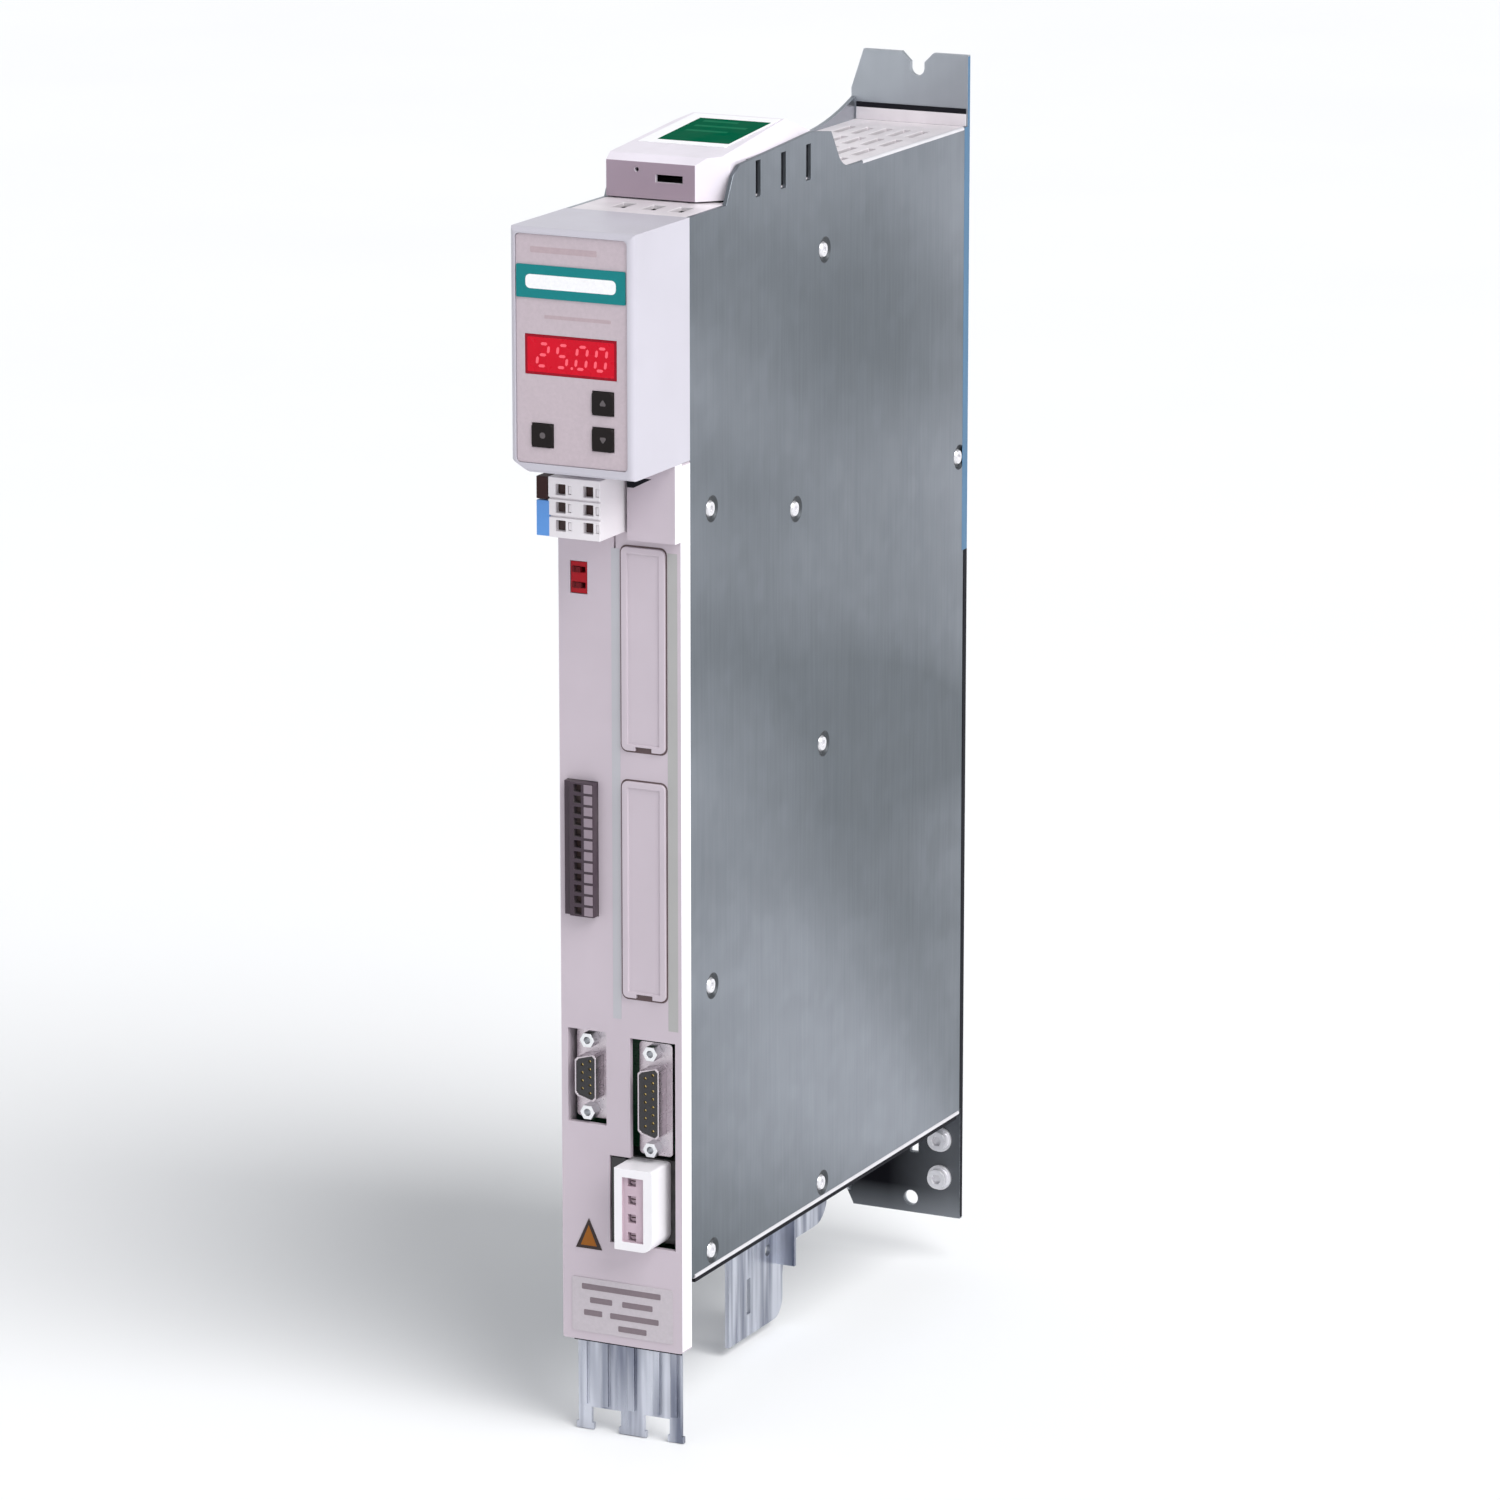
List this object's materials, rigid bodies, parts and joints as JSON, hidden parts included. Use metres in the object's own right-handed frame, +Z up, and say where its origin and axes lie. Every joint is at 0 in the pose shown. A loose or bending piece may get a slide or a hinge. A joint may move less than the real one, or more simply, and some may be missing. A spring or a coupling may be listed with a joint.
{
  "type": "servo drive",
  "caption": "Slim booksize servo drive in sheet steel: red display with keys, plug-in terminals, D-sub ports, hinged DC bus cover, fan, shield plates and wall lugs.",
  "frame": {"origin": "on the mounting plane behind the housing, on the centre line, level with the housing's bottom edge", "axes": "+Y into the wall, out of the rear face; +Z up; +X to the right seen from the front"},
  "size_m": [0.045, 0.26, 0.4425],
  "materials": {
    "zinc_sheet": "galvanised sheet, satin",
    "side_sheet": "galvanised sheet, satin, pressed dimples",
    "zinc_shield": "zinc-plated, bright",
    "screw_steel": "zinc-plated, bright",
    "port_metal": "nickel-plated",
    "frame_plastic": "fine moulded grain",
    "panel_plastic": "fine moulded grain",
    "face_plastic": "satin foil",
    "cover_plastic": "fine moulded grain",
    "band_ink": "satin foil",
    "display_red": "tinted window",
    "display_body": "matt",
    "key_rubber": "matt",
    "board_green": "solder resist",
    "switch_red": "moulded",
    "slider_white": "moulded",
    "plug_dark": "moulded",
    "plug_cream": "moulded",
    "plug_white": "moulded",
    "plug_black": "moulded",
    "plug_green": "moulded",
    "label_amber": "printed foil",
    "label_green": "printed foil",
    "label_grey": "printed foil",
    "bus_copper": "tinned and bare copper",
    "clamp_brass": "bare",
    "sink_aluminium": "extruded",
    "module_black": "moulded",
    "can_blue": "shrink sleeve",
    "core_ferrite": "ferrite and tape",
    "ribbon_grey": "flat cable"
  },
  "bodies": {
    "drive": {"rear_plate": "zinc_sheet", "left_wall": "zinc_sheet", "side_cover": "side_sheet", "top_plate": "zinc_sheet", "bottom_plate": "zinc_sheet", "cover_pillars": "screw_steel", "cover_screws": "screw_steel", "front_frame": "frame_plastic", "slot_a_blank": "frame_plastic", "slot_b_blank": "frame_plastic", "panel_housing": "panel_plastic", "panel_face": "face_plastic", "title_band": "band_ink", "display_window": "display_red", "display_module": "display_body", "panel_board": "board_green", "dip_housing": "switch_red", "io_header": "plug_dark", "supply_header": "plug_cream", "stop_header": "plug_black", "serial_shell": "port_metal", "serial_insert": "plug_black", "encoder_shell": "port_metal", "encoder_insert": "plug_black", "jack_screws": "screw_steel", "amber_label": "label_amber", "name_label": "label_grey", "control_shield": "zinc_shield", "motor_shield": "zinc_shield", "shield_screws": "screw_steel", "motor_terminal": "plug_green", "earth_screws": "screw_steel", "bus_base": "plug_black", "bus_bar_front": "bus_copper", "bus_bar_middle": "bus_copper", "bus_bar_rear": "bus_copper", "bus_clamps": "clamp_brass", "bus_screws": "screw_steel", "hinge_pin": "screw_steel", "heat_sink": "sink_aluminium", "power_module": "module_black", "board_spacers": "clamp_brass", "power_board": "board_green", "control_board": "board_green", "capacitors": "can_blue", "transformer": "core_ferrite", "fan_frame": "plug_black", "ribbon_cable": "ribbon_grey"},
    "bus_cover": {"bus_cover": "cover_plastic", "bus_label": "label_green"},
    "key_left": {"key_left": "key_rubber"},
    "key_up": {"key_up": "key_rubber"},
    "key_down": {"key_down": "key_rubber"},
    "dip_slider_upper": {"dip_slider_upper": "slider_white"},
    "dip_slider_lower": {"dip_slider_lower": "slider_white"},
    "io_plug": {"io_plug": "plug_dark"},
    "supply_plug": {"supply_plug": "plug_cream"},
    "stop_plug": {"stop_plug": "plug_white"},
    "fan_rotor": {"fan_rotor": "plug_black"}
  },
  "joints": [
    {"name": "bus_cover_hinge", "type": "hinge", "parent": "drive", "child": "bus_cover", "pos_m": [0, -0.112, 0.365], "axis": [-1, 0, 0], "range_deg": [0, 95]},
    {"name": "key_left_press", "type": "slide", "parent": "drive", "child": "key_left", "axis": [0, 1, 0], "range_m": [0, 0.0005], "stiffness_N_per_m": 300},
    {"name": "key_up_press", "type": "slide", "parent": "drive", "child": "key_up", "axis": [0, 1, 0], "range_m": [0, 0.0005], "stiffness_N_per_m": 300},
    {"name": "key_down_press", "type": "slide", "parent": "drive", "child": "key_down", "axis": [0, 1, 0], "range_m": [0, 0.0005], "stiffness_N_per_m": 300},
    {"name": "dip_upper_slide", "type": "slide", "parent": "drive", "child": "dip_slider_upper", "axis": [1, 0, 0], "range_m": [0, 0.0016]},
    {"name": "dip_lower_slide", "type": "slide", "parent": "drive", "child": "dip_slider_lower", "axis": [1, 0, 0], "range_m": [0, 0.0016]},
    {"name": "io_plug_pull", "type": "slide", "parent": "drive", "child": "io_plug", "axis": [0, -1, 0], "range_m": [0, 0.016]},
    {"name": "supply_plug_pull", "type": "slide", "parent": "drive", "child": "supply_plug", "axis": [0, -1, 0], "range_m": [0, 0.016]},
    {"name": "stop_plug_pull", "type": "slide", "parent": "drive", "child": "stop_plug", "axis": [0, -1, 0], "range_m": [0, 0.016]},
    {"name": "fan_spin", "type": "hinge", "parent": "drive", "child": "fan_rotor", "pos_m": [0, -0.05, 0.012], "axis": [0, 0, 1], "continuous": true}
  ]
}
